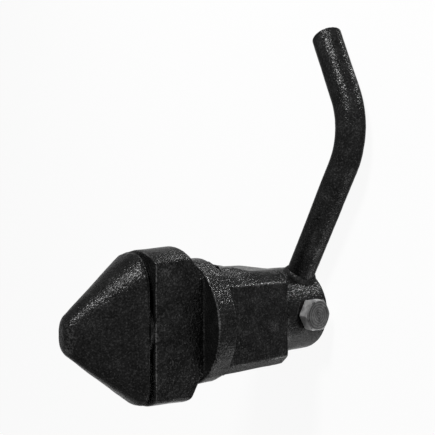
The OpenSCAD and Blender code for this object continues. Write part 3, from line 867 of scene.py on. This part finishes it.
def hexagon(half, angle, corner_at):
    """Half the width across flats divided by a soft maximum of the cosines to the six planes."""
    planes = corner_at + np.radians(30 + 60 * np.arange(6))
    cosines = np.clip(np.cos(angle[None, :] - planes[:, None]), 0, None)
    return half / (cosines**HEX_POWER).sum(0) ** (1 / HEX_POWER)


def crosswise(path, seat, side):
    """Stands a path of (radius, distance outwards) pairs on a seat on the -Y or +Y side of the hub."""
    return np.stack([path[..., 0] * np.cos(ring), side * (seat + path[..., 1]),
                     bolt_height + path[..., 0] * np.sin(ring)], -1)


def at(radius, out):
    """One corner of a path round the bolt's axis."""
    return level(radius, out, ring)


hexed = hexagon(HEX_HALF, ring, math.pi / 2)
cone = (hexed - HEX_TURNED) * math.tan(math.radians(28))
print("hexagon", 2 * HEX_HALF, "mm across flats,", round(2 * hexed.max(), 1), "mm across corners")

# %% Turn the bolt and cut its thread
HEAD_TALL, FACE_RADIUS, FACE_TALL, PITCH, THREAD_DEEP = -bolt_low[1] - FLAT_AT, 11.3, 0.55, 2.0, 1.1
far_flat = -2 * FLAT_AT
bolt_path, crown, _ = rounded_path([
    (at(0.0, HEAD_TALL - 0.35), 0.0, 0, 4),
    (at(9.2, HEAD_TALL - 0.3), 2.0, 3, 3),
    (at(HEX_TURNED, HEAD_TALL), 0.8, 4, 3),
    (at(hexed, HEAD_TALL - cone), 0.5, 4, 16),
    (at(hexed, FACE_TALL), 0.4, 3, 3),
    (at(FACE_RADIUS, FACE_TALL), 0.1, 2, 2),
    (at(FACE_RADIUS, 0.03), 0.1, 2, 2),
    (at(BOLT, 0.03), 0.1, 2, 4),
    (at(BOLT, far_flat + 6), 0.0, 0, 150),
    (at(BOLT, far_flat - 20), 0.0, 0, 6),
    (at(BOLT - 1, far_flat - 21), 0.3, 2, 4),
    (at(0.0, far_flat - 21), 0.0, 0, 2),
])
wind = (bolt_path[..., 1] / PITCH - ring / (2 * np.pi)) % 1
threaded = step(far_flat + 4, far_flat + 2, bolt_path[..., 1]) * (bolt_path[..., 0] > BOLT - 0.2)
bolt_path[..., 0] -= THREAD_DEEP * (1 - 2 * np.abs(wind - 0.5)) * threaded
surface = skin(crosswise(bolt_path, FLAT_AT, -1), np.abs(crown))
make("hex_bolt", surface, zinc, "turning_body", "cross_bolt")

# %% Turn the lock nut
nut_low, nut_high = reach("lock_nut")
NUT_TALL, HEX_TALL, NUT_RING, LIP, INSERT = nut_high[1] - nut_low[1], 12.0, 10.95, 9.0, 9.8
nut_path, crown, _ = rounded_path([
    (at(BOLT + 0.02, 0.02), 0.5, 2, 3),
    (at(HEX_TURNED, 0.02), 0.3, 2, 3),
    (at(hexed, cone + 0.05), 0.4, 3, 12),
    (at(hexed, HEX_TALL - cone), 0.4, 3, 3),
    (at(NUT_RING, HEX_TALL), 0.3, 3, 5),
    (at(NUT_RING, NUT_TALL), 1.4, 6, 3),
    (at(LIP, NUT_TALL - 0.1), 0.4, 3, 2),
    (at(LIP, NUT_TALL - 0.9), 0.0, 0, 2),
    (at(INSERT, NUT_TALL - 0.9), 0.0, 0, 2),
    (at(INSERT, HEX_TALL), 0.0, 0, 2),
    (at(BOLT + 0.02, HEX_TALL), 0.0, 0, 3),
], loop=True)
surface = skin(crosswise(nut_path, nut_low[1], 1), np.abs(crown), loop=True)
make("nylon_lock_nut", surface, zinc, "turning_body", "lock_nut")

# %% Turn the washer
washer_low, washer_high = reach("nut_washer")
WASHER_THICK, WASHER_RADIUS, WASHER_HOLE = washer_high[1] - washer_low[1], washer_high[0], BOLT + 0.5
washer_path, crown, _ = rounded_path([
    (at(WASHER_HOLE, 0.0), 0.2, 2, 3),
    (at(WASHER_RADIUS, 0.0), 0.3, 3, 3),
    (at(WASHER_RADIUS, WASHER_THICK), 0.9, 5, 4),
    (at(WASHER_HOLE, WASHER_THICK), 0.3, 2, 2),
], loop=True)
surface = skin(crosswise(washer_path, washer_low[1], 1), np.abs(crown), loop=True)
make("plain_washer", surface, zinc, "turning_body", "nut_washer")

# %% [markdown]
# ## The other pieces
#
# Bushes, seals, washers, drag parts, stop pin and grease nipple already have their true shape as turned
# parts, and most of them are hidden in the block. They keep it and get the finish of their material.

# %% Give the remaining pieces their finish
finishes = {
    "head_washer": forged_black, "hub_washer": black_steel, "stop_pin": steel, "drag_plug": cast_black,
    "drag_springs": steel, "grease_nipple": zinc, "upper_bush": bronze, "lower_bush": bronze,
    "drag_shoe": brass, "dust_seal": rubber, "felt_seal": felt, "nut_insert": nylon,
}
for name, finish in finishes.items():
    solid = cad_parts[name]
    solid.data.materials.clear()
    solid.data.materials.append(finish)
print("finished solids:", ", ".join(sorted(finishes)))

# %% [markdown]
# ## Floor, background and light
#
# The floor and background are white to the camera and to reflections, and the floor keeps a soft
# shadow. Small soft lamps stand where their mirror images fall on the bands that shine: the key on the
# head's ridge and the bar, the side lamp on collar, flange and shank, and a low one on the hub. A weak
# front lamp and a wide one from below, like light off a table, open the rest. Some stand lower than
# the floor, so the floor is there for the camera alone: it takes the shadow, but shades nothing itself.

# %% Mix the floor's finish and lay the floor
WHITE_MIX, FLOOR_HALF, FLOOR_GAP = 0.93, 6.0, 0.0004
WHITE = (1, 1, 1, 1)


def seen_directly(g):
    """1 for rays from the camera and for reflected or transmitted ones, 0 for light that bounces softly."""
    rays = g.node("ShaderNodeLightPath")
    seen = g.value(rays, "Is Camera Ray") + g.value(rays, "Is Glossy Ray")
    return (seen + g.value(rays, "Is Transmission Ray")).maths("MINIMUM", 1.0)


g = Graph(bpy.data.materials.new("pale_floor"))
matt = g.value(g.node("ShaderNodeBsdfDiffuse", None, {"Color": (0.82, 0.82, 0.82, 1)}))
white = g.value(g.node("ShaderNodeEmission", None, {"Color": WHITE, "Strength": 1.0}))
pale_floor = g.show(g.node("ShaderNodeMixShader", None, {0: seen_directly(g) * WHITE_MIX, 1: matt, 2: white}))

floor_mesh = bpy.data.meshes.new("floor")
floor_at = cad_low[2] - FLOOR_GAP
floor_mesh.from_pydata([(x * FLOOR_HALF, y * FLOOR_HALF, floor_at) for x, y in
                        ((-1, -1), (1, -1), (1, 1), (-1, 1))], [], [(0, 1, 2, 3)])
floor_mesh.materials.append(pale_floor)
floor = bpy.data.objects.new("floor", floor_mesh)
bpy.context.scene.collection.objects.link(floor)
floor.visible_shadow = floor.visible_glossy = floor.visible_diffuse = False
print("floor at", round(floor_at, 4), "m")

# %% Light the background and hang the lamps
SKY_LIGHT = 0.15
world = bpy.data.worlds.new("studio")
bpy.context.scene.world = world
sky = Graph(world, "ShaderNodeOutputWorld")
strength = seen_directly(sky) * (1 - SKY_LIGHT) + SKY_LIGHT
sky.show(sky.node("ShaderNodeBackground", None, {"Color": WHITE, "Strength": strength}))


def lamp(name, direction, distance, width, height, watts):
    """A soft box at a distance from the object along a direction, turned to face it."""
    light = bpy.data.lights.new(name, "AREA")
    light.shape, light.size, light.size_y, light.energy = "RECTANGLE", width, height, watts
    holder = bpy.data.objects.new(name, light)
    bpy.context.scene.collection.objects.link(holder)
    towards = Vector(direction).normalized()
    holder.location = (cad_low + cad_high) / 2 + towards * distance
    holder.rotation_euler = towards.to_track_quat("Z", "Y").to_euler()


lamp("key", (0.80, -0.20, 0.55), 1.3, 0.25, 0.25, 20)
lamp("side", (0.81, 0.28, -0.50), 1.3, 0.22, 0.22, 13)
lamp("low_side", (0.59, -0.40, -0.70), 1.3, 0.12, 0.12, 12)
lamp("front", (0.45, -0.80, 0.10), 1.5, 0.50, 0.50, 1.0)
lamp("table_bounce", (-0.78, -0.16, -0.52), 1.3, 1.00, 0.80, 12)
